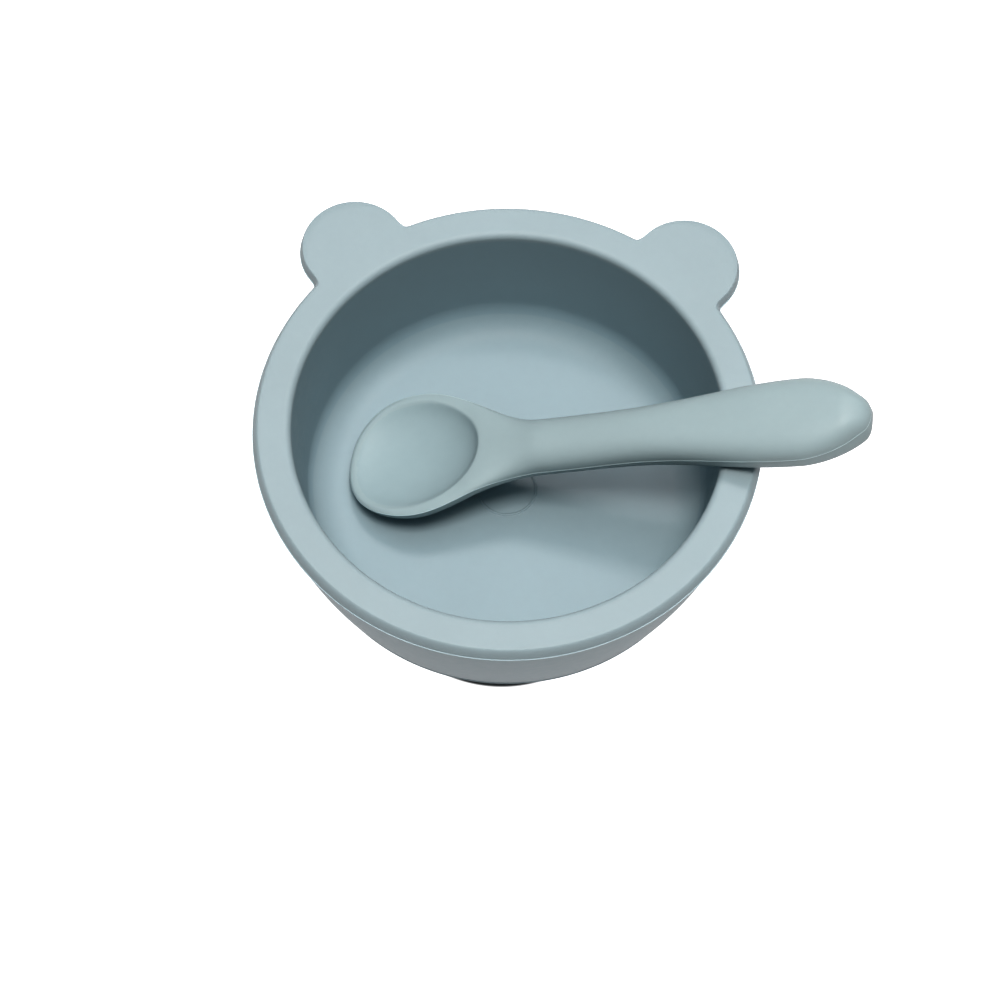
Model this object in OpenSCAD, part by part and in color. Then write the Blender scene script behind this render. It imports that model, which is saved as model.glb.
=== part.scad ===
// Baby suction bowl with two round ear lobes on a wide flat rim, a suction cup
// under its foot, a release tab on the cup, and a matching spoon resting in it.
// Millimetres. +Z up, table at z = 0, bowl axis on Z, ears towards +Y,
// spoon handle towards +X.

/* [Bowl] */
// Outer diameter of the flat rim
rim_d = 127; // [116:1:140]
// Width of the flat rim, outer edge to inner edge
rim_w = 9.6; // [8:0.2:11]
// Height of the rim top above the table
bowl_h = 42; // [40:0.5:50]
// Depth of the bowl floor below the rim top
floor_depth = 36.2; // [30:0.1:36.2]
// Outer radius of the foot ring
foot_r = 53.3; // [51.5:0.1:54]
// Radius of the blend between inner wall and floor
floor_blend = 9; // [6:0.5:12]
// Lean of the inner wall from vertical, degrees
wall_lean = 5.9; // [3:0.1:8]
// Rounding of the rim's inner edge
rim_round_in = 1.85; // [1:0.05:2.5]
// Rounding of the rim's outer edge
rim_round_out = 1.5; // [1.1:0.05:1.9]
// Depth of the widest mould line below the rim top
mould_line = 3; // [2.6:0.1:3.6]

/* [Ears] */
// Radius of each ear lobe
ear_r = 13.9; // [11:0.1:16]
// Distance of an ear's centre from the bowl axis
ear_dist = 64.3; // [62:0.1:67]
// Angle of each ear away from +Y
ear_angle = 41.1; // [34:0.1:50]
// Thickness of an ear lobe
ear_t = 8; // [7:0.1:11]

/* [Suction cup] */
// Radius of the bonded hub
hub_r = 22; // [16:0.5:26]
// Outer radius of the sealing lip
lip_r = 51.6; // [51:0.1:51.8]
// Height of the foot ring above the table with the cup relaxed
foot_gap = 2.5; // [2.2:0.1:3]
// Width of the release tab
tab_w = 16; // [12:0.5:18]

/* [Spoon] */
// Length of the spoon
spoon_l = 139.0; // [130:0.2:142]
// Half width of the spoon's bowl
spoon_w = 17.45; // [16:0.05:18]
// Half width of the neck
neck_w = 7.35; // [6:0.05:8.5]
// Half width of the handle near its end
handle_w = 11.15; // [9:0.05:12.5]
// Slope of the resting spoon, degrees
spoon_pitch = 22; // [21:0.1:23]
// Heading of the resting spoon about Z, degrees
spoon_yaw = -2; // [-6:0.1:6]

/* [Hidden] */
$fn = 96;
silicone = [0.67, 0.76, 0.80];
silicone_pad = [0.61, 0.70, 0.74];
nylon = [0.86, 0.85, 0.80];
part_gap = 0.05;                  // clearance between neighbouring pieces

// Points on an arc in the profile plane, angles in degrees
function arc(x, z, radius, from, to, steps) =
    [for (i = [0:steps]) let (angle = from + (to - from) * i / steps)
        [x + radius * cos(angle), z + radius * sin(angle)]];

// ---------- bowl ----------
rim_r = rim_d / 2;
rim_inner_r = rim_r - rim_w;
floor_z = bowl_h - floor_depth;   // top of the floor
mould_z = bowl_h - mould_line;
side_inset = 1;                   // wall and ear sides, inside their mould line
wall_top = 5.2;                   // start of the plain outer wall, below the rim top
wall_len = bowl_h - foot_gap - wall_top;
wall_belly = 0.238;               // share of the wall's inward run that is curved
foot_round = 0.9;
recess_r = 49.2;                  // recess inside the foot ring
recess_depth = 1;
base_z = foot_gap + recess_depth; // underside of the floor, inside the foot ring
hub_seat = 0.5;                   // depth of the hub's socket
blend_centre_r = rim_inner_r - floor_blend / cos(wall_lean)
    - (floor_depth - rim_round_in - floor_blend) * tan(wall_lean);
ear_round = 2.2;                  // rounding of an ear's lower edge
ear_drop = 0.02;                  // ear top below the rim top
ring_r = 7.5;                     // low ring on the floor
ring_bead = 0.3;

// Rim's outer rounding: [inset / rim_round_out, depth / mould_line]
rim_curve = [[0.11, 0.76], [0.34, 0.41], [0.63, 0.145], [0.86, 0.027], [1, 0]];

// Outer wall radius at a depth below the rim top: a cone with a little belly
function wall_r(depth) = let (top_r = rim_r - side_inset, u = (depth - wall_top) / wall_len)
    top_r - (top_r - foot_r) * ((1 - wall_belly) * u + wall_belly * u * u);

// Outer edge of a given radius, from below the mould line up to the flat top
function rim_edge(radius) = concat(
    [[radius - 0.55, mould_z - 0.85], [radius, mould_z - 0.25], [radius, mould_z]],
    [for (p = rim_curve) [radius - rim_round_out * p[0], bowl_h - mould_line * p[1]]]);

module outer_body() {
    round_r = foot_r - foot_round;
    rotate_extrude($fn = 180)
        polygon(concat(
            [[0, foot_gap], [round_r, foot_gap]],
            arc(round_r, foot_gap + foot_round, foot_round, -90, -15, 2),
            [for (i = [3:-1:0]) let (depth = wall_top + wall_len * i / 3.5)
                [wall_r(depth), bowl_h - depth]],
            rim_edge(rim_r),
            [[0, bowl_h]]));
}

module ear_lobe() {
    bottom = bowl_h - ear_t;
    rotate_extrude()
        polygon(concat(
            [[0, bottom]],
            arc(ear_r - side_inset - ear_round, bottom + ear_round, ear_round, -90, -8, 3),
            rim_edge(ear_r),
            [[0, bowl_h]]));
}

module cavity() {
    round_r = rim_inner_r + rim_round_in;
    cut_top = bowl_h + 5;
    rotate_extrude($fn = 180)
        polygon(concat(
            [[0, floor_z]],
            arc(blend_centre_r, floor_z + floor_blend, floor_blend, -90, -wall_lean, 6),
            arc(round_r, bowl_h - rim_round_in, rim_round_in, 180 - wall_lean, 90, 4),
            [[round_r, cut_top], [0, cut_top]]));
}

module bowl_shell() {
    color(silicone) {
        difference() {
            union() {
                outer_body();
                for (side = [-1, 1])
                    rotate([0, 0, 90 + side * ear_angle])
                        translate([ear_dist, 0, -ear_drop]) ear_lobe();
            }
            cavity();
            // recess inside the foot ring
            translate([0, 0, foot_gap - 1])
                cylinder(r = recess_r, h = recess_depth + 1, $fn = 120);
            // socket for the bonded hub
            translate([0, 0, base_z - hub_seat])
                cylinder(r = hub_r + part_gap, h = 2 * hub_seat);
        }
        // low plain ring moulded on the floor
        rotate_extrude($fn = 72)
            polygon(concat(
                [for (side = [-1, 1]) [ring_r + side * ring_bead, floor_z - ring_bead]],
                arc(ring_r, floor_z, ring_bead, 0, 180, 6)));
    }
}

// ---------- suction cup ----------
hub_bottom = base_z - 1.8;
hub_edge_z = base_z - 1.7;        // underside at the hub's rim
hub_slope_w = 4;                  // width of the sloping band under the hub
hub_top = base_z + hub_seat - part_gap;
skirt_steps = 14;
skirt_sag = 0.35;                 // hollowness of the cone
lip_w = 2.5;
lip_t = 1;
root_overlap = 2;                 // tab root, inwards over the lip
hinge_y = lip_r + 3.1;
hinge_z = 0.95;
hinge_r = 0.75;
tab_bottom = 0.4;
tab_top = 1.5;
tab_round = 0.6;
tab_bead_z = 1.3;                 // centre height of the bead round the tab

module suction_hub() {
    color(silicone_pad)
        rotate_extrude()
            polygon([[0, hub_bottom], [hub_r - hub_slope_w, hub_bottom],
                     [hub_r, hub_edge_z], [hub_r, hub_top], [0, hub_top]]);
}

// One surface of the skirt between its heights at hub and lip, steps in the order given
function skirt_side(order, hub_z, lip_z) =
    let (start = hub_r + part_gap, end = lip_r - lip_w - part_gap)
    [for (i = order) let (u = i / skirt_steps)
        [start + (end - start) * u, hub_z * (1 - u) * (1 - skirt_sag * u) + lip_z * u]];

// Thin flexing cone of the suction cup
module suction_skirt() {
    color(silicone_pad)
        rotate_extrude($fn = 120)
            polygon(concat(
                skirt_side([0:skirt_steps], hub_edge_z, 0.2),
                skirt_side([skirt_steps:-1:0], base_z - 0.1, 0.9)));
}

module hinge_bar(radius, length) {
    translate([0, hinge_y, hinge_z]) rotate([0, 90, 0])
        cylinder(r = radius, h = length, center = true, $fn = 32);
}

// Sealing lip on the table, with the root of the release tab
module suction_lip() {
    edge_r = lip_t / 2;
    color(silicone_pad)
        difference() {
            union() {
                rotate_extrude($fn = 180)
                    polygon(concat(
                        [[lip_r - lip_w, 0], [lip_r - 0.3, 0]],
                        arc(lip_r - edge_r, edge_r, edge_r, -60, 90, 6),
                        [[lip_r - lip_w, lip_t]]));
                translate([-tab_w / 2, lip_r - root_overlap, 0.15])
                    cube([tab_w, hinge_y - lip_r + root_overlap, 1]);
            }
            hinge_bar(hinge_r + part_gap, tab_w + 2);
        }
}

// Hinge bar and a half disc with a raised bead round its edge
module release_tab() {
    round_r = tab_w / 2 - tab_round;
    color(silicone_pad) {
        hinge_bar(hinge_r, tab_w);
        intersection() {
            translate([0, hinge_y, 0]) rotate_extrude($fn = 64)
                polygon(concat(
                    [[0, tab_bottom], [round_r, tab_bottom]],
                    arc(round_r, tab_bottom + tab_round, tab_round, -90, 0, 4),
                    arc(round_r, tab_bead_z, tab_round, 0, 180, 8),
                    [[round_r - 1, tab_top], [0, tab_top]]));
            // keeps the half outside the hinge line
            translate([-tab_w, hinge_y, -1]) cube([2 * tab_w, tab_w, 5]);
        }
    }
}

// ---------- spoon, in its own frame: x from the tip to the handle end, +Z up ----------
widest_x = 19.8;
neck_start = 53.5;
neck_end = 71;
end_start = spoon_l - 17.8;       // where the handle end rounds off
hollow_x = 17.6;                  // centre of the hollow's ellipsoid
hollow_top = 5.5;
hollow_radii = [20.1, 16.4, 8];
tip_inset = 13.3;                 // resting tip, inside the rim's inner edge
rest_y = 2.8;
rest_lift = 3.05;                 // spoon frame's origin above the floor
core_x = 46;
core_size = [spoon_l - core_x - 12, 5.2, 1.6];
core_pos = [core_x, -core_size.y / 2, -2.5];
section_points = 44;

// Stations along x crowd towards both ends; end_steps are fractions of the rounded end
tip_stations = [0.05, 0.35, 0.8, 1.2, 1.6, 2.1, 2.7, 3.4, 4.2, 5, 6];
end_steps = [0.05, 0.2, 0.35, 0.5, 0.64, 0.76, 0.86, 0.93, 0.97, 0.995];
stations = concat(
    tip_stations,
    [for (x = [7.5:1.5:31.5]) x],
    [for (x = [32.5:0.75:38.5]) x],
    [for (x = [40:2:56]) x],
    [for (x = [60:4:end_start]) x],
    [for (u = end_steps) end_start + (spoon_l - end_start) * u]);

// Smooth step, 0 up to one x and 1 beyond another
function ease(from, to, x) = let (u = min(1, max(0, (x - from) / (to - from))))
    u * u * (3 - 2 * u);
function mix(from, to, u) = from + (to - from) * u;
// Quarter round, for fading a depth out at an end
function fade(x, radius) = sqrt(1 - pow(1 - min(1, max(0.003, x / radius)), 2));
// Superellipse quarter, 1 at u = 0 and 0 at u = 1
function round_end(u, power) = pow(max(0, 1 - pow(u, power)), 1 / power);

function half_width(x) =
    x < widest_x ? spoon_w * round_end(1 - x / widest_x, 2.14) :
    x < neck_start ? neck_w + (spoon_w - neck_w)
        * pow(cos(90 * pow((x - widest_x) / (neck_start - widest_x), 0.92)), 2) :
    x < neck_end ? neck_w :
    x < end_start ? neck_w + (handle_w - neck_w)
        * pow(sin(90 * (x - neck_end) / (end_start - neck_end)), 2.46) :
    handle_w * round_end((x - end_start) / (spoon_l - end_start), 1.75);

// Height of the edge line: drops at the tip, rises past the neck, drops at the handle end
function edge_z(x) = let (
        bowl_z = 1.78 - 2 * pow(max(0, 1 - x / 14.3), 2),
        handle_z = -0.73 + 0.93 * ease(54, 92, x) - 1.2 * pow(max(0, (x - 108) / 30), 2))
    mix(bowl_z, handle_z, ease(34, 50.5, x));

// Height of the crown above the edge line, from spoon bowl to handle
function crown_h(x) = mix(0.9, 5.3, ease(30, 54, x)) * fade(x, 9) * fade(spoon_l - x, 7);

// Depth below the edge line: spoon bowl, neck, then handle
function under_depth(x) = let (
        neck = 2.6,
        front = mix(7.42, neck, ease(20, 48, x)),
        back = mix(neck, 5.95, ease(60, 120, x)))
    mix(front, back, ease(44, 60, x)) * fade(x, 12) * fade(spoon_l - x, 3.5);

// Hollow of the spoon: part of an ellipsoid; far above the spoon outside it
function hollow_z(x, y) =
    let (q = 1 - pow((x - hollow_x) / hollow_radii.x, 2) - pow(y / hollow_radii.y, 2))
    q > 0 ? hollow_top - hollow_radii.z * sqrt(q) : 99;

// Section point k: exponents blend from the round bowl to the square-sided handle.
// The top is spaced by a sine, the underside follows a rounded box.
function section_point(x, k) = let (
        angle = 360 * k / section_points,
        across = cos(angle),
        up = sin(angle),
        to_neck = ease(24, 46, x),
        to_handle = ease(60, 110, x),
        width = half_width(x),
        box_power = mix(0.4, 0.42, to_handle),
        side_power = mix(0.62, box_power, to_neck),
        under_power = mix(0.85, box_power, to_neck),
        crown_power = mix(mix(4, 2.3, to_neck), 3, to_handle),
        y = width * (up >= 0 ? sin(90 * across) : sign(across) * pow(abs(across), side_power)),
        crown = sqrt(max(0, 1 - pow(abs(y) / width, crown_power))))
    [x, y, up >= 0 ? min(edge_z(x) + crown_h(x) * crown, hollow_z(x, y))
                   : edge_z(x) - under_depth(x) * pow(abs(up), under_power)];

module spoon_outer() {
    m = section_points;
    last = len(stations) - 1;
    points = [for (x = stations) for (k = [0:m - 1]) section_point(x, k)];
    sides = [for (i = [0:last - 1]) for (k = [0:m - 1])
        let (here = i * m, next = here + m, k2 = (k + 1) % m)
        each [[here + k, next + k, next + k2], [here + k, next + k2, here + k2]]];
    faces = concat(
        [[for (k = [0:m - 1]) k]],
        sides,
        [[for (k = [m - 1:-1:0]) last * m + k]]);
    polyhedron(points = points, faces = faces, convexity = 6);
}

// Places a spoon piece so that it rests on the floor and on the rim's inner edge
module rest_spoon() {
    translate([tip_inset - rim_inner_r, rest_y, floor_z + rest_lift])
        rotate([0, 0, spoon_yaw]) rotate([0, -spoon_pitch, 0]) children();
}

// Bar inside the neck and handle, grown on every side
module core_bar(grow) {
    margin = [grow, grow, grow];
    translate(core_pos - margin) cube(core_size + 2 * margin);
}

module spoon_body() {
    color(silicone)
        rest_spoon() difference() {
            spoon_outer();
            core_bar(part_gap);
        }
}

module spoon_core() {
    color(nylon) rest_spoon() core_bar(0);
}

bowl_shell();
suction_hub();
suction_skirt();
suction_lip();
release_tab();
spoon_body();
spoon_core();
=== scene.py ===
"""A silicone feeding bowl with two round ears, a suction cup below and a spoon lying in it.

The bowl stands on z = 0 with its axis on Z. Front is -Y, and the ears stand out at the
back (+Y). The spoon's tip rests on the floor at -X; its handle rises towards +X, over the rim.
Shapes are worked out in millimetres and turned into metres in mesh_from_rings.
"""
import math

import bmesh
import bpy
import numpy as np
from mathutils import Matrix, Vector


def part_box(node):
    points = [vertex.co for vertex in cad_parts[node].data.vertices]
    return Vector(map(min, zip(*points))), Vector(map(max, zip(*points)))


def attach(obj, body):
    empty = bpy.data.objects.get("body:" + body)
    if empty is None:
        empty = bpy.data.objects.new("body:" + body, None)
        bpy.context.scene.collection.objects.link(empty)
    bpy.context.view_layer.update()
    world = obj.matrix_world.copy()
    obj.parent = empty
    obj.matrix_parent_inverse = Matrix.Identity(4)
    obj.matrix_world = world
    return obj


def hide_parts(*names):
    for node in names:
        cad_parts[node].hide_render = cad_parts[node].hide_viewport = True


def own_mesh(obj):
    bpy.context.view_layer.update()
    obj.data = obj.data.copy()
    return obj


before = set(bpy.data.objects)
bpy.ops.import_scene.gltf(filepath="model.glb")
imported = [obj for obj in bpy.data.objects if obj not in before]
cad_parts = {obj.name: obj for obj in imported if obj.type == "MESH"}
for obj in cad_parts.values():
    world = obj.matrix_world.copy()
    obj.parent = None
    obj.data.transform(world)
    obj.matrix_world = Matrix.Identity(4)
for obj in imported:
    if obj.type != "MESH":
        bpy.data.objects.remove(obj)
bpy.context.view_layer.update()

MM = 0.001

# ------------------------------------------------------------------ bowl sizes, mm
# A "depth" is measured down from the rim top.
shell_low, shell_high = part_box("bowl_shell")
RIM_Z = shell_high.z * 1000.0
RIM_R = round(shell_high.x * 1000.0, 2)
RIM_WIDTH = 9.6
RIM_INNER_R = RIM_R - RIM_WIDTH
RIM_ROUND = 1.85                     # rounding of the rim's inner edge
EDGE_WIDTH = 1.5                     # how far in from the outline the flat rim top stops
LINE_DEPTH = 3.0                     # depth of the upper witness line

FLOOR_DEPTH = 36.2
FLOOR_Z = RIM_Z - FLOOR_DEPTH
BEND_R = 9.0                         # bend between floor and inner wall
WALL_LEAN = math.radians(5.9)
BEND_CENTRE_R = (RIM_INNER_R - (FLOOR_DEPTH - RIM_ROUND - BEND_R) * math.tan(WALL_LEAN)
                 - BEND_R / math.cos(WALL_LEAN))

FOOT_Z = shell_low.z * 1000.0        # underside of the foot ring
FOOT_R = 53.3
FOOT_INNER_R = 49.2
FOOT_ROUND = 0.5
RECESS_Z = FOOT_Z + 1.0              # underside of the bowl inside the foot ring
WALL_INSET = 1.0                     # outer wall starts this far in from the outline
WALL_TOP_R = RIM_R - WALL_INSET
WALL_TOP_DEPTH = 5.2
WALL_HEIGHT = RIM_Z - FOOT_Z - WALL_TOP_DEPTH
WALL_BELLY = 0.3                     # extra fullness of the wall at half height

EAR_R = 13.9
EAR_OFFSET = 64.3                    # bowl axis to ear centre
EAR_ANGLE = 41.1                     # degrees either side of +Y
EAR_DEPTH = 8.0                      # depth of the flat underside
EAR_NOTCH_R = 1.8                    # fillet between ear and rim, seen from above
EAR_EDGE_R = 2.0                     # rounding between skirt and underside
EAR_WALL_R = 2.6                     # fillet between underside and wall
SKIRT_DEPTH = 5.4                    # where the ear edge starts to turn under
PLAIN_WALL_DEPTH = EAR_DEPTH + 3.5   # below this the wall is plain all round

HUB_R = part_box("suction_hub")[1].x * 1000.0
SOCKET_DEPTH = 0.49                  # shallow socket the hub sits in

BOWL_SEGMENTS = 1200
LATHE_SEGMENTS = 360


# ------------------------------------------------------------------ curves
def mix(a, b, amount):
    return a + (b - a) * amount


def smooth(start, end, x):
    """Smoothstep from 0 at start to 1 at end."""
    u = np.clip((np.asarray(x, float) - start) / (end - start), 0, 1)
    return u * u * (3 - 2 * u)


def smooth_min(a, b, width):
    """Minimum of a and b, rounded over where they cross."""
    u = np.clip(0.5 + 0.5 * (b - a) / width, 0, 1)
    return b * (1 - u) + a * u - width * u * (1 - u)


def fade(distance, radius):
    """Quarter circle, rising from almost 0 to 1 over radius."""
    return np.sqrt(1 - (1 - np.clip(distance / radius, 0.003, 1)) ** 2)


def arc(centre_r, centre_z, radius, start, end, steps):
    """Points (r, z) along an arc; angles in degrees."""
    angles = [math.radians(start + (end - start) * i / steps) for i in range(steps + 1)]
    return [(centre_r + radius * math.cos(a), centre_z + radius * math.sin(a)) for a in angles]


def full_turn(segments):
    return np.arange(segments) * 2 * math.pi / segments


BOWL_TURN = full_turn(BOWL_SEGMENTS)


def ring(radius, z, turn=BOWL_TURN):
    """Ring round Z; radius and z are single values or one per point."""
    radius = np.broadcast_to(radius, turn.shape)
    z = np.broadcast_to(z, turn.shape)
    return np.stack([radius * np.cos(turn), radius * np.sin(turn), z], -1)


# ------------------------------------------------------------------ meshes
def mesh_from_rings(name, rings, poles=None, tags=None):
    """Skin closed rings, an array (rings, points, 3) in mm.

    With poles, a start and an end point, the ends are closed by fans; without them
    the last ring joins the first. tags is {attribute: values, broadcast to the rings}.
    """
    rings = np.asarray(rings, float)
    count, around, _ = rings.shape
    verts = rings.reshape(-1, 3)
    index = np.arange(count * around).reshape(count, around)
    if poles is None:
        here, after = index, np.roll(index, -1, axis=0)
        tris = np.zeros((0, 3), int)
    else:
        here, after = index[:-1], index[1:]
        first, last = index[0], index[-1]
        pole = np.full(around, len(verts))
        tris = np.vstack([np.stack([pole, first, np.roll(first, -1)], -1),
                          np.stack([pole + 1, np.roll(last, -1), last], -1)])
        verts = np.vstack([verts, np.array(poles, float)])
    quads = np.stack([here, after, np.roll(after, -1, axis=1), np.roll(here, -1, axis=1)], -1)
    quads = quads.reshape(-1, 4)

    corners = np.concatenate([quads.ravel(), tris.ravel()]).astype(np.int32)
    sizes = np.repeat([4, 3], [len(quads), len(tris)]).astype(np.int32)
    starts = np.concatenate([[0], np.cumsum(sizes)[:-1]]).astype(np.int32)
    mesh = bpy.data.meshes.new(name)
    mesh.vertices.add(len(verts))
    mesh.vertices.foreach_set("co", (verts * MM).astype(np.float32).ravel())
    mesh.loops.add(len(corners))
    mesh.loops.foreach_set("vertex_index", corners)
    mesh.polygons.add(len(sizes))
    mesh.polygons.foreach_set("loop_start", starts)
    mesh.polygons.foreach_set("loop_total", sizes)
    mesh.update(calc_edges=True)
    mesh.validate()
    shade_smooth(mesh)
    for tag, values in (tags or {}).items():
        full = np.zeros(len(mesh.vertices), np.float32)
        full[:count * around] = np.broadcast_to(values, (count, around)).ravel()
        mesh.attributes.new(tag, "FLOAT", "POINT").data.foreach_set("value", full)
    piece = bpy.data.objects.new(name, mesh)
    bpy.context.scene.collection.objects.link(piece)
    face_outwards(mesh)
    return piece


def shade_smooth(mesh):
    mesh.polygons.foreach_set("use_smooth", np.ones(len(mesh.polygons), bool))


def face_outwards(mesh):
    work = bmesh.new()
    work.from_mesh(mesh)
    bmesh.ops.recalc_face_normals(work, faces=work.faces)
    if work.calc_volume(signed=True) < 0:
        bmesh.ops.reverse_faces(work, faces=work.faces)
    work.to_mesh(mesh)
    work.free()


def lathe(name, profile):
    """Turn (r, z) points round Z. A profile starting on the axis must also end there;
    any other is a closed loop."""
    poles = None
    if profile[0][0] == 0:
        poles = [(0, 0, profile[0][1]), (0, 0, profile[-1][1])]
        profile = profile[1:-1]
    turn = full_turn(LATHE_SEGMENTS)
    return mesh_from_rings(name, [ring(r, z, turn) for r, z in profile], poles)


# ------------------------------------------------------------------ bowl shell
def wall_radius(depth):
    """Outer wall: a slightly curved taper from the rim to the foot."""
    u = (np.asarray(depth, float) - WALL_TOP_DEPTH) / WALL_HEIGHT
    inside = np.clip(u, 0, 1)
    taper = 0.762 * u + 0.238 * u * u
    return WALL_TOP_R - (WALL_TOP_R - FOOT_R) * taper + WALL_BELLY * 4 * inside * (1 - inside)


def outline(inset):
    """Polar radius of rim and ears seen from above, moved in by inset."""
    radius = np.full(BOWL_SEGMENTS, RIM_R - inset)
    # notch fillet centre and ear centre, with the ear's direction as first axis
    from_axis = RIM_R + EAR_NOTCH_R
    from_ear = EAR_R + EAR_NOTCH_R
    along = (from_axis ** 2 + EAR_OFFSET ** 2 - from_ear ** 2) / (2 * EAR_OFFSET)
    notch = np.array([along, math.sqrt(from_axis ** 2 - along ** 2)])
    ear = np.array([EAR_OFFSET, 0.0])
    notch_r = EAR_NOTCH_R + inset
    meeting = notch + (ear - notch) / from_ear * notch_r
    notch_angle = math.atan2(notch[1], notch[0])
    meeting_angle = math.atan2(meeting[1], meeting[0])
    for side in (-1, 1):
        ear_angle = math.radians(90 + side * EAR_ANGLE)
        off = np.abs((BOWL_TURN - ear_angle + math.pi) % (2 * math.pi) - math.pi)
        in_notch = (off < notch_angle) & (off >= meeting_angle)
        near = notch[0] * np.cos(off) + notch[1] * np.sin(off)
        across = notch[0] * np.sin(off) - notch[1] * np.cos(off)
        on_notch = near - np.sqrt(np.maximum(notch_r ** 2 - across ** 2, 0))
        radius = np.where(in_notch, on_notch, radius)
        chord = (EAR_R - inset) ** 2 - (EAR_OFFSET * np.sin(off)) ** 2
        on_ear = EAR_OFFSET * np.cos(off) + np.sqrt(np.maximum(chord, 0))
        radius = np.where(off < meeting_angle, on_ear, radius)
    return radius


on_ears = smooth(0.0, 2.5, outline(0.0) - RIM_R)


def edge_radius(share):
    """Outline moved in by a share of the edge, which turns over quicker on the ears."""
    return mix(outline(share * EDGE_WIDTH), outline(share * EDGE_WIDTH * 0.5), on_ears)


# radii of the flat rings inside and outside the small raised ring on the floor
FLOOR_CENTRE_RADII = (0.6, 2, 4, 6, 6.9)
FLOOR_OUTER_RADII = (8.1, 10, 13, 17, 21, 25, 29, 33, 36, 38.5, 40.5, 41.5)
RECESS_RADII = (46, 42, 38, 34, 30, 26)
SOCKET_RADII = (18, 12, 6, 1)

# rim's outer edge: share of EDGE_WIDTH in from the outline, share of LINE_DEPTH down
RIM_EDGE = (
    (1.0, 0.0), (0.95, 0.006), (0.86, 0.027), (0.74, 0.079), (0.63, 0.145),
    (0.53, 0.22), (0.43, 0.31), (0.34, 0.41), (0.25, 0.52), (0.175, 0.64),
    (0.11, 0.76), (0.06, 0.87), (0.03, 0.945),
)
# upper witness line, standing a little proud: inset, depth, strength of its painted highlight
UPPER_LINE = (
    (0.035, 2.89, 0.0), (0.02, 2.905, 1.0), (-0.05, 2.93, 1.0), (-0.1, 2.955, 1.0),
    (-0.13, 3.0, 1.0), (-0.13, 3.22, 1.0), (-0.1, 3.27, 0.9), (0.1, 3.32, 0.2),
    (0.3, 3.45, 0.0), (0.5, 3.75, 0.0), (0.72, 4.2, 0.0), (0.9, 4.8, 0.0),
)
# lower witness line: height above the foot, share of LOWER_LINE_PROUD, strength of its painted
# highlight
LOWER_LINE = (
    (0.82, 0.0, 0.0), (0.78, 0.3, 0.6), (0.74, 0.9, 0.6), (0.69, 1.0, 0.6),
    (0.45, 1.0, 0.6), (0.39, 0.8, 0.6), (0.3, 0.0, 0.0),
)
LOWER_LINE_PROUD = 0.2
FLOOR_INSIDE_SHADE = 0.55                  # "inside" tag on the floor, weaker painted shade; 1 on the inner wall, full painted shade
WALL_BEND_RINGS = 9                  # last rings of the bend, tagged as wall for the painted shade


def underside_profile(steps=34):
    """From the witness line down; the ears' undersides fold into the wall."""
    skirt_r = outline(WALL_INSET)
    overhang = np.maximum(skirt_r - WALL_TOP_R, 0)
    ear_share = smooth(0.1, 6.0, overhang)
    fillet_r = wall_radius(EAR_DEPTH + EAR_WALL_R) + EAR_WALL_R
    edge_end, flat_end = 0.3, 0.75   # shares of the steps where edge and flat end
    profile = []
    for i in range(1, steps + 1):
        t = i / steps
        plain_depth = mix(SKIRT_DEPTH, PLAIN_WALL_DEPTH, t)
        plain_r = wall_radius(plain_depth) + overhang * (1 - smooth(0, 1, t))
        if t < edge_end:
            a = math.radians(90 * t / edge_end)
            ear_r = skirt_r - EAR_EDGE_R * (1 - math.cos(a))
            ear_depth = mix(SKIRT_DEPTH, EAR_DEPTH, math.sin(a))
        elif t < flat_end:
            ear_r = mix(skirt_r - EAR_EDGE_R, fillet_r, (t - edge_end) / (flat_end - edge_end))
            ear_depth = EAR_DEPTH
        else:
            a = math.radians(90 * (t - flat_end) / (1 - flat_end))
            ear_r = fillet_r - EAR_WALL_R * math.sin(a)
            ear_depth = EAR_DEPTH + EAR_WALL_R * (1 - math.cos(a))
        ear_r = np.maximum(ear_r, wall_radius(ear_depth))
        profile.append((mix(plain_r, ear_r, ear_share),
                        RIM_Z - mix(plain_depth, ear_depth, ear_share)))
    return profile


def foot_profile(outer_r):
    """Foot ring, recess and hub socket, from the foot's outer edge to the centre."""
    socket_r = HUB_R + 0.06
    socket_z = RECESS_Z + SOCKET_DEPTH
    corner_z = RECESS_Z - FOOT_ROUND
    return (arc(outer_r - 0.27, FOOT_Z + 0.25, 0.25, -5, -90, 6)
            + [(51.6, FOOT_Z), (50.6, FOOT_Z)]
            + arc(FOOT_INNER_R + FOOT_ROUND, FOOT_Z + FOOT_ROUND, FOOT_ROUND, -90, -180, 6)
            + [(FOOT_INNER_R, corner_z)]
            + arc(FOOT_INNER_R - FOOT_ROUND, corner_z, FOOT_ROUND, 0, 90, 5)
            + [(r, RECESS_Z) for r in (*RECESS_RADII, HUB_R + 0.6, socket_r)]
            + [(r, socket_z) for r in (socket_r, *SOCKET_RADII)])


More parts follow.
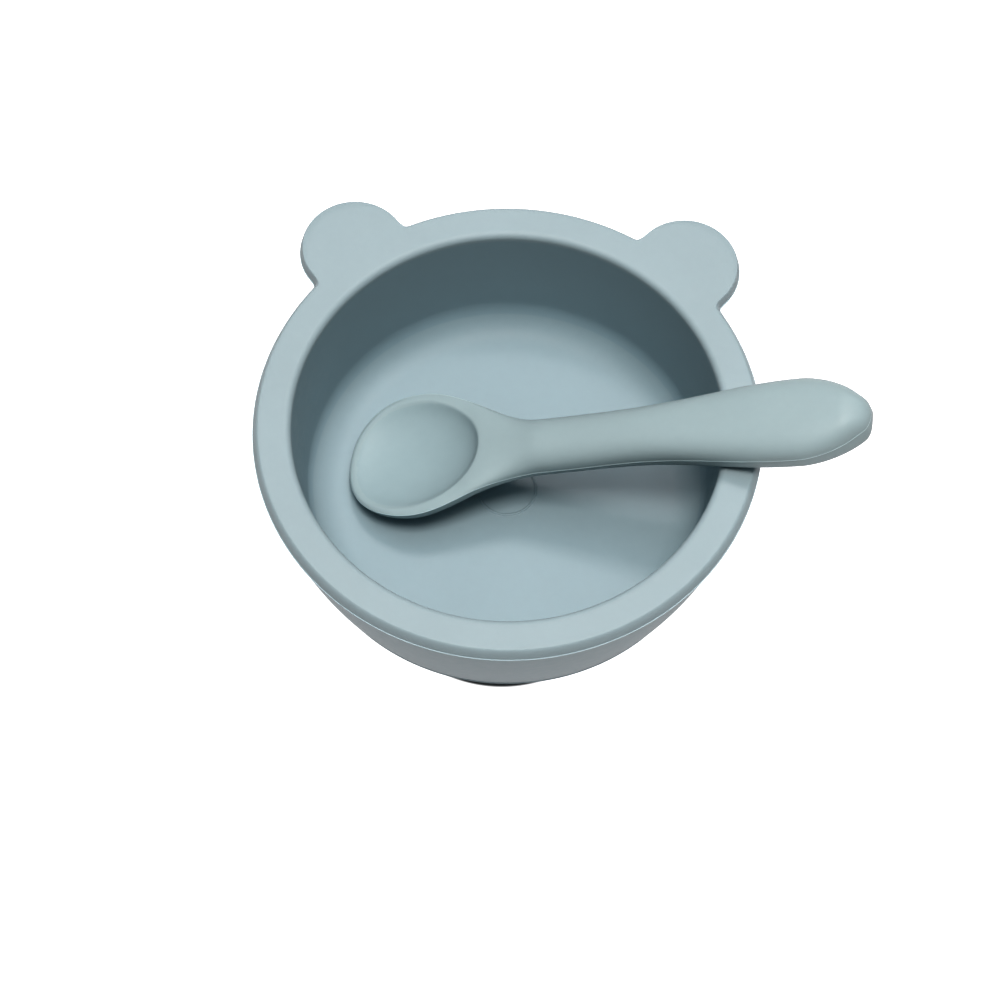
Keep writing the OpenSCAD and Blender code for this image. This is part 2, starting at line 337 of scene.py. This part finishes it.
def build_bowl():
    """Skin the shell from the floor's centre, over the rim and down to the socket."""
    # per ring: strength of the witness line's painted highlight and of the painted shade inside
    # the bowl
    rings, witness_highlight, inside = [], [], []

    def add(profile, line=0.0, inner=0.0):
        for radius, z in profile:
            rings.append(ring(radius, z))
            witness_highlight.append(line)
            inside.append(inner)

    lean = math.degrees(WALL_LEAN)
    bend = arc(BEND_CENTRE_R, FLOOR_Z + BEND_R, BEND_R, -90, -lean, 26)
    rim_round = arc(RIM_INNER_R + RIM_ROUND, RIM_Z - RIM_ROUND, RIM_ROUND, 180 - lean, 90, 10)
    add([(r, FLOOR_Z) for r in FLOOR_CENTRE_RADII]
        + arc(7.5, FLOOR_Z, 0.3, 180, 0, 8)
        + [(r, FLOOR_Z) for r in FLOOR_OUTER_RADII]
        + bend[:-WALL_BEND_RINGS], inner=FLOOR_INSIDE_SHADE)
    (low_r, low_z), (high_r, high_z) = bend[-1], rim_round[0]
    add(bend[-WALL_BEND_RINGS:]
        + [(mix(low_r, high_r, i / 26), mix(low_z, high_z, i / 26)) for i in range(1, 26)],
        inner=1.0)

    # flat rim top, ears included, and its outer edge
    flat_start, flat_end = RIM_INNER_R + RIM_ROUND, edge_radius(1.0)
    add(rim_round + [(mix(flat_start, flat_end, i / 9), RIM_Z) for i in range(1, 9)])
    add((edge_radius(share), RIM_Z - down * LINE_DEPTH) for share, down in RIM_EDGE)
    for inset, depth, strength in UPPER_LINE:
        add([(outline(inset), RIM_Z - depth)], line=strength)

    # undersides of the ears, plain wall and foot
    add(underside_profile())
    for i in range(1, 25):
        depth = mix(PLAIN_WALL_DEPTH, RIM_Z - FOOT_Z - 1.3, i / 24)
        add([(wall_radius(depth), RIM_Z - depth)])
    foot_edge_r = float(wall_radius(RIM_Z - FOOT_Z - 0.5))
    for height, proud, strength in LOWER_LINE:
        add([(foot_edge_r + LOWER_LINE_PROUD * proud - 0.02, FOOT_Z + height)], line=strength)
    add(foot_profile(foot_edge_r))

    return mesh_from_rings("bowl_shell_moulding", rings,
                           [(0, 0, FLOOR_Z), (0, 0, RECESS_Z + SOCKET_DEPTH)],
                           {"witness_highlight": np.array(witness_highlight)[:, None],
                            "inside": np.array(inside)[:, None]})


bowl = build_bowl()
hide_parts("bowl_shell")

# ------------------------------------------------------------------ spoon
# Own axes: s along it from the tip, y across, z up. Stations are values of s, in mm.
SPOON_LENGTH = 139.0
HEAD_S, HEAD_HALF = 19.8, 17.45      # widest station of the head, half width there
NECK_START, NECK_END, NECK_HALF = 53.5, 71.0, 7.35
CAP_S = SPOON_LENGTH - 17.8          # where the handle's rounded end starts
HANDLE_HALF = 11.15
HOLLOW_S, HOLLOW_TOP = 17.6, 5.5     # centre of the ellipsoid that hollows the head
HOLLOW_RADII = (20.1, 16.4, 8.0)     # along, across, down
NO_HOLLOW = 99.0                     # a height above everything
SPOON_YAW, SPOON_PITCH = math.radians(-2.0), math.radians(22.0)
SPOON_ORIGIN = np.array([-(RIM_INNER_R - 13.3), 2.8, FLOOR_Z + 3.05])

# witness line round the spoon: distance above or below it, and share of its height
LINE_LEVELS = np.array([0.0, 0.06, 0.12, 0.2, 0.32])
LINE_SHARES = np.array([1.0, 1.0, 0.45, 0.0, 0.0])
SPOON_LINE_PROUD = 0.13
SPOON_WITNESS_HIGHLIGHT, SPOON_INSIDE_SHADE = 1.4, 0.35    # strengths of the two tags: the witness line's painted highlight, the hollow's painted shade


def half_width(s):
    if s < HEAD_S:
        return HEAD_HALF * (1 - (1 - s / HEAD_S) ** 2.14) ** (1 / 2.14)
    if s < NECK_START:
        u = (s - HEAD_S) / (NECK_START - HEAD_S)
        return mix(NECK_HALF, HEAD_HALF, math.cos(math.pi / 2 * u ** 0.92) ** 2)
    if s < NECK_END:
        return NECK_HALF
    if s < CAP_S:
        u = (s - NECK_END) / (CAP_S - NECK_END)
        return mix(NECK_HALF, HANDLE_HALF, math.sin(math.pi / 2 * u) ** 2.46)
    x = (s - CAP_S) / (SPOON_LENGTH - CAP_S)
    blunt = (1 - x ** 1.75) ** (1 / 1.75)
    return HANDLE_HALF * mix(blunt, math.sqrt(1 - x * x), smooth(0.8, 1.0, x))


def line_height(s):
    """Height of the witness line that runs round the spoon's edge."""
    head = 1.78 - 2 * max(0, 1 - s / 14.3) ** 2
    handle = -0.73 + 0.93 * smooth(54, 92, s) - 1.2 * max(0, (s - 108) / 30) ** 2
    return mix(head, handle, smooth(34, 50.5, s))


def crown_height(s):
    """Height of the top above the witness line."""
    return mix(0.9, 5.3, smooth(30, 54, s)) * fade(s, 9) * fade(SPOON_LENGTH - s, 7)


def belly_depth(s):
    """Depth of the underside below the witness line."""
    head = mix(7.42, 2.6, smooth(20, 48, s))
    handle = mix(2.6, 5.95, smooth(60, 120, s))
    return mix(head, handle, smooth(44, 60, s)) * fade(s, 12) * fade(SPOON_LENGTH - s, 3.5)


def hollow_height(s, y):
    along, across, down = HOLLOW_RADII
    q = 1 - ((s - HOLLOW_S) / along) ** 2 - (y / across) ** 2
    return np.where(q > 0, HOLLOW_TOP - down * np.sqrt(np.maximum(q, 0)), NO_HOLLOW)


def edge_points(y, z):
    """The same edge points on the +Y and the -Y side, the latter in reverse order."""
    return np.stack([y, z], -1), np.stack([-y, z], -1)[::-1]


def spoon_section(s):
    """Closed section at s, with its tags: from the +Y edge over the top to the -Y edge
    and back below, with points crowded at the witness line."""
    width, line_z = half_width(s), line_height(s)
    crown, belly = crown_height(s), belly_depth(s)
    past_head = smooth(24, 46, s)
    past_neck = smooth(60, 110, s)
    proud = LINE_SHARES * min(1.0, width / 4.0) * SPOON_LINE_PROUD

    # top, a superellipse cut by the hollow
    power = mix(mix(4, 2.3, past_head), 3, past_neck)
    levels = np.clip(LINE_LEVELS / crown, 0, 0.97)
    edge_y = width * (1 - levels ** 2) ** (1 / power)
    across = np.cos(np.linspace(0, math.pi, 91))
    y = edge_y[-1] * mix(across, np.sin(np.pi / 2 * across), past_head)
    z = line_z + crown * np.sqrt(1 - (np.abs(y) / width) ** power)
    plus, minus = edge_points(edge_y + proud, line_z + crown * levels)
    top = np.vstack([plus, np.stack([y, z], -1)[1:-1], minus])
    hollow = hollow_height(s, top[:, 0])
    top[:, 1] = smooth_min(top[:, 1], hollow, mix(1.5, 0.35, smooth(12, 34, s)))

    # underside, a rounded box; angles crowd where the side turns under
    box_power = mix(0.4, 0.42, past_neck)
    y_power = mix(0.62, box_power, past_head)
    z_power = mix(0.85, box_power, past_head)
    levels = np.clip(LINE_LEVELS[1:] / belly, 0, 0.9)
    sines = levels ** (1 / z_power)
    edge_y = width * np.sqrt(1 - sines ** 2) ** y_power
    start = math.asin(sines[-1])
    spread = np.linspace(0, 1, 29) ** mix(1.0, 1.6, past_head)
    half = start + (math.pi / 2 - start) * spread
    angles = np.concatenate([math.pi + half, (2 * math.pi - half)[::-1][1:]])
    cosines = np.cos(angles)
    y = width * np.sign(cosines) * np.abs(cosines) ** y_power
    z = line_z - belly * np.abs(np.sin(angles)) ** z_power
    plus, minus = edge_points(edge_y + proud[1:], line_z - belly * levels)
    bottom = np.vstack([minus[::-1], np.stack([y, z], -1)[1:-1], plus[::-1]])

    # three points on each edge lie on the witness line
    section = np.vstack([top, bottom])
    # the witness line points carry its painted highlight; the hollow carries painted shade
    witness_highlight = np.zeros(len(section))
    witness_highlight[[-1, 0, 1, len(top) - 2, len(top) - 1, len(top)]] = SPOON_WITNESS_HIGHLIGHT
    inside = np.zeros(len(section))
    inside[:len(top)] = (hollow < top[:, 1] + 0.15) * SPOON_INSIDE_SHADE
    points = np.column_stack([np.full(len(section), s), section])
    return points, witness_highlight, inside


def place_spoon(points):
    """Pitch the handle up, turn by the yaw and move into the bowl."""
    cos_p, sin_p = math.cos(SPOON_PITCH), math.sin(SPOON_PITCH)
    cos_y, sin_y = math.cos(SPOON_YAW), math.sin(SPOON_YAW)
    pitch = np.array([[cos_p, 0, -sin_p], [0, 1, 0], [sin_p, 0, cos_p]])
    yaw = np.array([[cos_y, -sin_y, 0], [sin_y, cos_y, 0], [0, 0, 1]])
    return np.asarray(points) @ pitch.T @ yaw.T + SPOON_ORIGIN


def build_spoon():
    tip = [0.02, 0.08, 0.2, 0.36, 0.56, 0.8, 1.1, 1.4, 1.8, 2.2, 2.6, 3.0, 3.4, 3.8, 4.2, 4.6]
    cap = [CAP_S + (SPOON_LENGTH - CAP_S) * math.sin(math.radians(a))
           for a in np.linspace(0, 88.5, 60)]
    stations = np.concatenate([tip, np.arange(5.0, 40.0, 0.4), np.arange(40.0, 60.0, 0.8),
                               np.arange(60.0, CAP_S - 0.5, 1.5), cap])
    sections, witness_highlight, inside = zip(*(spoon_section(s) for s in stations))
    poles = [(0.0, 0, line_height(tip[0])), (SPOON_LENGTH, 0, line_height(SPOON_LENGTH) - 0.2)]
    return mesh_from_rings("spoon_moulding", place_spoon(sections), place_spoon(poles),
                           {"witness_highlight": np.array(witness_highlight), "inside": np.array(inside)})


spoon = build_spoon()
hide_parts("spoon_body")

# ------------------------------------------------------------------ suction cup
SKIRT_INNER_R = HUB_R + 0.05
SKIRT_OUTER_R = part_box("suction_skirt")[1].x * 1000.0
SKIRT_TOP_Z = RECESS_Z - 0.1
HUB_Z = RECESS_Z - 1.8               # underside of the hub


def build_skirt():
    """Thin cone reaching down to the table, with nine fine ribs underneath."""
    u = np.linspace(0, 1, 60)
    radii = mix(SKIRT_INNER_R, SKIRT_OUTER_R, u)
    drop = (1 - u) * (1 - 0.35 * u)
    ribs = 0.05 * np.sin(u * 2 * math.pi * 9) * smooth(0.05, 0.2, u) * (1 - smooth(0.85, 0.97, u))
    lower = (RECESS_Z - 1.7) * drop + 0.2 * u + ribs
    upper = SKIRT_TOP_Z * drop + 0.9 * u
    return lathe("suction_skirt_cone", [*zip(radii, lower), *zip(radii[::-1], upper[::-1])])


def build_hub():
    """Disc with a shallow dimple in the middle of its underside."""
    dimple = [(r, HUB_Z + 0.25 * (1 - smooth(2, 9, r))) for r in (0, 1, 2.5, 4, 6, 8, 10, 14, 17)]
    top_z = RECESS_Z + 0.45
    return lathe("suction_hub_disc",
                 dimple + [(HUB_R - 1.0, HUB_Z)]
                 + arc(HUB_R - 0.5, HUB_Z + 0.5, 0.5, -90, 0, 6)
                 + [(HUB_R, RECESS_Z - 0.6), (HUB_R, RECESS_Z + 0.2)]
                 + arc(HUB_R - 0.2, top_z - 0.2, 0.2, 0, 90, 3)
                 + [(10, top_z), (0, top_z)])


skirt = build_skirt()
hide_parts("suction_skirt")
hub = build_hub()
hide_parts("suction_hub")

# CAD pieces kept as they are, the first two with softened edges (widths in metres)
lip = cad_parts["suction_lip"]
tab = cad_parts["release_tab"]
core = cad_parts["spoon_core"]
for piece, edge_width in ((lip, 0.00012), (tab, 0.0002)):
    bevel = piece.modifiers.new("soft_edges", "BEVEL")
    bevel.width = edge_width
    bevel.segments = 3
    bevel.limit_method = "ANGLE"
    bevel.angle_limit = math.radians(35)
    shade_smooth(piece.data)


# ------------------------------------------------------------------ materials
def set_inputs(node, values):
    """Set sockets by name or number; a value that is a socket is linked."""
    for key, value in values.items():
        if isinstance(value, bpy.types.NodeSocket):
            node.id_data.links.new(value, node.inputs[key])
        else:
            node.inputs[key].default_value = value


def add_node(tree, kind, inputs=None, **settings):
    node = tree.nodes.new("ShaderNode" + kind)
    for key, value in settings.items():
        setattr(node, key, value)
    set_inputs(node, inputs or {})
    return node


def map_range(tree, value, from_range, to_range, **settings):
    limits = {"From Min": from_range[0], "From Max": from_range[1],
              "To Min": to_range[0], "To Max": to_range[1], "Value": value}
    return add_node(tree, "MapRange", limits, **settings).outputs["Result"]


def set_material(piece, material):
    piece.data.materials.clear()
    piece.data.materials.append(material)


WITNESS_HIGHLIGHT_GAIN = 1.6                   # how much paler the witness line is painted: partly the flash's own paleness, mostly a painted highlight
INSIDE_SHADE_TINT = (0.83, 0.895, 0.93, 1)   # painted shade: the bowl's inside and the spoon's hollow are painted darker and bluer


def silicone(name, color, roughness, variation=0.02, subsurface=0.08, seed=0.0):
    material = bpy.data.materials.new(name)
    material.use_nodes = True
    tree = material.node_tree
    tree.nodes.clear()
    output = add_node(tree, "OutputMaterial")
    shader = add_node(tree, "BsdfPrincipled")
    set_inputs(output, {"Surface": shader.outputs["BSDF"]})
    coords = add_node(tree, "TexCoord")
    mapping = add_node(tree, "Mapping", {"Location": (seed, seed * 0.7, seed * 1.3),
                                         "Vector": coords.outputs["Object"]})

    def noise(scale, detail, rough):
        return add_node(tree, "TexNoise", {
            "Scale": scale, "Detail": detail, "Roughness": rough,
            "Vector": mapping.outputs["Vector"]}).outputs["Fac"]

    # slow colour drift through the pigment, and a faint dusty bloom
    drift = noise(scale=28, detail=3, rough=0.55)
    bloom = noise(scale=420, detail=5, rough=0.6)
    fine = variation * 0.6
    drift_gain = map_range(tree, drift, (0.3, 0.7), (1 - variation, 1 + variation))
    bloom_gain = map_range(tree, bloom, (0.3, 0.75), (1 - fine, 1 + fine))
    gain = add_node(tree, "Math", {0: drift_gain, 1: bloom_gain}, operation="MULTIPLY")
    base = add_node(tree, "VectorMath", {0: color, "Scale": gain.outputs["Value"]},
                    operation="SCALE")

    # painted highlight along the witness line, painted shade inside the bowl and the spoon's
    # hollow
    witness_highlight = add_node(tree, "Attribute", attribute_name="witness_highlight")
    inside = add_node(tree, "Attribute", attribute_name="inside")
    line_highlight_gain = map_range(tree, witness_highlight.outputs["Fac"], (0.0, 1.0), (1.0, WITNESS_HIGHLIGHT_GAIN),
                          clamp=False)
    shade_tint = add_node(tree, "Mix", {"A": (1, 1, 1, 1), "B": INSIDE_SHADE_TINT,
                                  "Factor": inside.outputs["Fac"]}, data_type="RGBA")
    shaded_base = add_node(tree, "VectorMath", {0: base.outputs["Vector"], 1: shade_tint.outputs["Result"]},
                      operation="MULTIPLY")
    final = add_node(tree, "VectorMath", {0: shaded_base.outputs["Vector"], "Scale": line_highlight_gain},
                     operation="SCALE")
    dullness = map_range(tree, bloom, (0.25, 0.75), (roughness - 0.05, roughness + 0.06))

    # sand-blasted grain over slow flow marks; distances in metres
    grain = noise(scale=2600, detail=3, rough=0.6)
    flow = noise(scale=150, detail=2, rough=0.5)
    flow_bump = add_node(tree, "Bump", {"Strength": 0.05, "Distance": 0.0012, "Height": flow})
    grain_bump = add_node(tree, "Bump", {"Strength": 0.35, "Distance": 0.000012,
                                         "Height": grain, "Normal": flow_bump.outputs["Normal"]})
    set_inputs(shader, {
        "Base Color": final.outputs["Vector"],
        "Roughness": dullness,
        "IOR": 1.41,
        "Specular IOR Level": 0.3,
        "Subsurface Weight": subsurface,
        "Subsurface Radius": (0.9, 1.0, 1.1),
        "Subsurface Scale": 0.0015,
        "Normal": grain_bump.outputs["Normal"],
    })
    return material


bowl_look = silicone("bowl_silicone_matte", color=(0.243, 0.320, 0.345), roughness=0.52)
spoon_look = silicone("spoon_silicone_matte", color=(0.252, 0.334, 0.352), roughness=0.5,
                      seed=3.1)
cup_look = silicone("cup_silicone_soft", color=(0.21, 0.295, 0.325), roughness=0.45,
                    variation=0.03, subsurface=0.12, seed=5.7)
set_material(bowl, bowl_look)
set_material(spoon, spoon_look)
for piece in (skirt, hub, lip, tab):
    set_material(piece, cup_look)
set_material(core, silicone("core_nylon_plain", color=(0.70, 0.69, 0.62), roughness=0.4,
                            subsurface=0.05, seed=9.0))

# ------------------------------------------------------------------ movement
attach(bowl, "bowl")
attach(hub, "bowl")
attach(skirt, "cup_base")
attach(spoon, "spoon")
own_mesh(skirt)

# ------------------------------------------------------------------ stage, metres
SEEN_WHITE = 1.25                    # brightness of floor and room seen directly
BOUNCE_TINT, BOUNCE = (1.10, 1.0, 0.99), 0.88    # light the floor throws on the bowl
SHADE_STRETCH = (1.3, 1.0, 1.0)      # narrows the painted shadow patch under the bowl along X
SHADE_RADII = (0.0529, 0.0536)       # where the patch starts and stops fading out
SKY_LOW, SKY_TOP = 0.05, 0.25        # room light near the horizon and overhead


def build_floor():
    """Glowing sheet, its glow cut out where the bowl stands: a painted contact shadow."""
    bpy.ops.mesh.primitive_plane_add(size=6, location=(0, 0, 0))
    sheet = bpy.context.object
    sheet.name = "floor_sheet"
    material = bpy.data.materials.new("floor_white")
    material.use_nodes = True
    tree = material.node_tree
    coords = add_node(tree, "TexCoord")
    # painted contact shadow: the glow fades to nothing under the bowl
    stretched = add_node(tree, "VectorMath", {0: coords.outputs["Object"], 1: SHADE_STRETCH},
                         operation="MULTIPLY")
    distance = add_node(tree, "VectorMath", {0: stretched.outputs["Vector"]},
                        operation="LENGTH")
    glow = map_range(tree, distance.outputs["Value"], SHADE_RADII, (0.0, 1.0),
                     interpolation_type="SMOOTHSTEP")
    # white seen directly; what it bounces is warmer and weaker
    path = add_node(tree, "LightPath")
    color = add_node(tree, "Mix", {
        "A": (*(channel * BOUNCE for channel in BOUNCE_TINT), 1),
        "B": (SEEN_WHITE, SEEN_WHITE, SEEN_WHITE, 1),
        "Factor": path.outputs["Is Camera Ray"]}, data_type="RGBA")
    set_inputs(tree.nodes["Principled BSDF"], {
        "Base Color": (0.28, 0.28, 0.28, 1),
        "Roughness": 0.9,
        "Specular IOR Level": 0.1,
        "Emission Color": color.outputs["Result"],
        "Emission Strength": glow,
    })
    set_material(sheet, material)
    return sheet


def build_world():
    """Dim cool room, brighter overhead; white where it is seen directly."""
    world = bpy.data.worlds.new("soft_white")
    bpy.context.scene.world = world
    world.use_nodes = True
    tree = world.node_tree
    coords = add_node(tree, "TexCoord")
    split = add_node(tree, "SeparateXYZ", {"Vector": coords.outputs["Generated"]})
    sky = map_range(tree, split.outputs["Z"], (0.45, 1.0), (SKY_LOW, SKY_TOP),
                    interpolation_type="SMOOTHSTEP")
    path = add_node(tree, "LightPath")
    strength = add_node(tree, "Mix", {"A": sky, "B": SEEN_WHITE,
                                      "Factor": path.outputs["Is Camera Ray"]})
    set_inputs(tree.nodes["Background"], {"Color": (0.9, 1.0, 1.12, 1),
                                          "Strength": strength.outputs["Result"]})


def area_light(name, location, target, size, power, color):
    light = bpy.data.lights.new(name, "AREA")
    light.shape = "RECTANGLE"
    light.size = light.size_y = size
    light.energy = power
    light.color = color
    lamp = bpy.data.objects.new(name, light)
    bpy.context.scene.collection.objects.link(lamp)
    lamp.location = location
    aim = Vector(target) - Vector(location)
    lamp.rotation_euler = aim.to_track_quat("-Z", "Y").to_euler()


build_floor()
build_world()
area_light("key_front_above", location=(0.055, -0.25, 1.28), target=(0, 0, 0.02),
           size=0.32, power=13.9, color=(1.135, 1.0, 0.94))
area_light("warm_back_above", location=(0.08, 0.46, 1.22), target=(0, 0, 0.02),
           size=0.20, power=4.8, color=(1.27, 1.0, 0.94))
area_light("ceiling", location=(0.1, 0.1, 1.45), target=(0.1, 0.1, 0),
           size=1.4, power=17.0, color=(1.0, 1.0, 1.01))


# ------------------------------------------------------------------ camera
def camera_matrix(location, heading, down, roll):
    """Camera pose; heading is turned from +Y towards -X, down is below level, in degrees."""
    heading, down, roll = (math.radians(angle) for angle in (heading, down, roll))
    forward = Vector((-math.sin(heading) * math.cos(down),
                      math.cos(heading) * math.cos(down), -math.sin(down)))
    level = Vector((math.cos(heading), math.sin(heading), 0))
    upright = level.cross(forward)
    right = level * math.cos(roll) + upright * math.sin(roll)
    up = upright * math.cos(roll) - level * math.sin(roll)
    rows = zip(right, up, -forward, location)
    return Matrix((*rows, (0, 0, 0, 1)))


camera_data = bpy.data.cameras.new("photo_view")
camera_data.sensor_width = 36
camera_data.lens = 126
camera_data.clip_start = 0.01
camera = bpy.data.objects.new("photo_view", camera_data)
scene = bpy.context.scene
scene.collection.objects.link(camera)
camera.matrix_world = camera_matrix(location=(0.0213, -0.4119, 0.7662 + RIM_Z * MM),
                                    heading=3.2, down=62.98, roll=0.53)
scene.camera = camera
scene.view_settings.view_transform = "Standard"
scene.view_settings.look = "None"
scene.view_settings.exposure = 0.0
scene.view_settings.gamma = 0.75
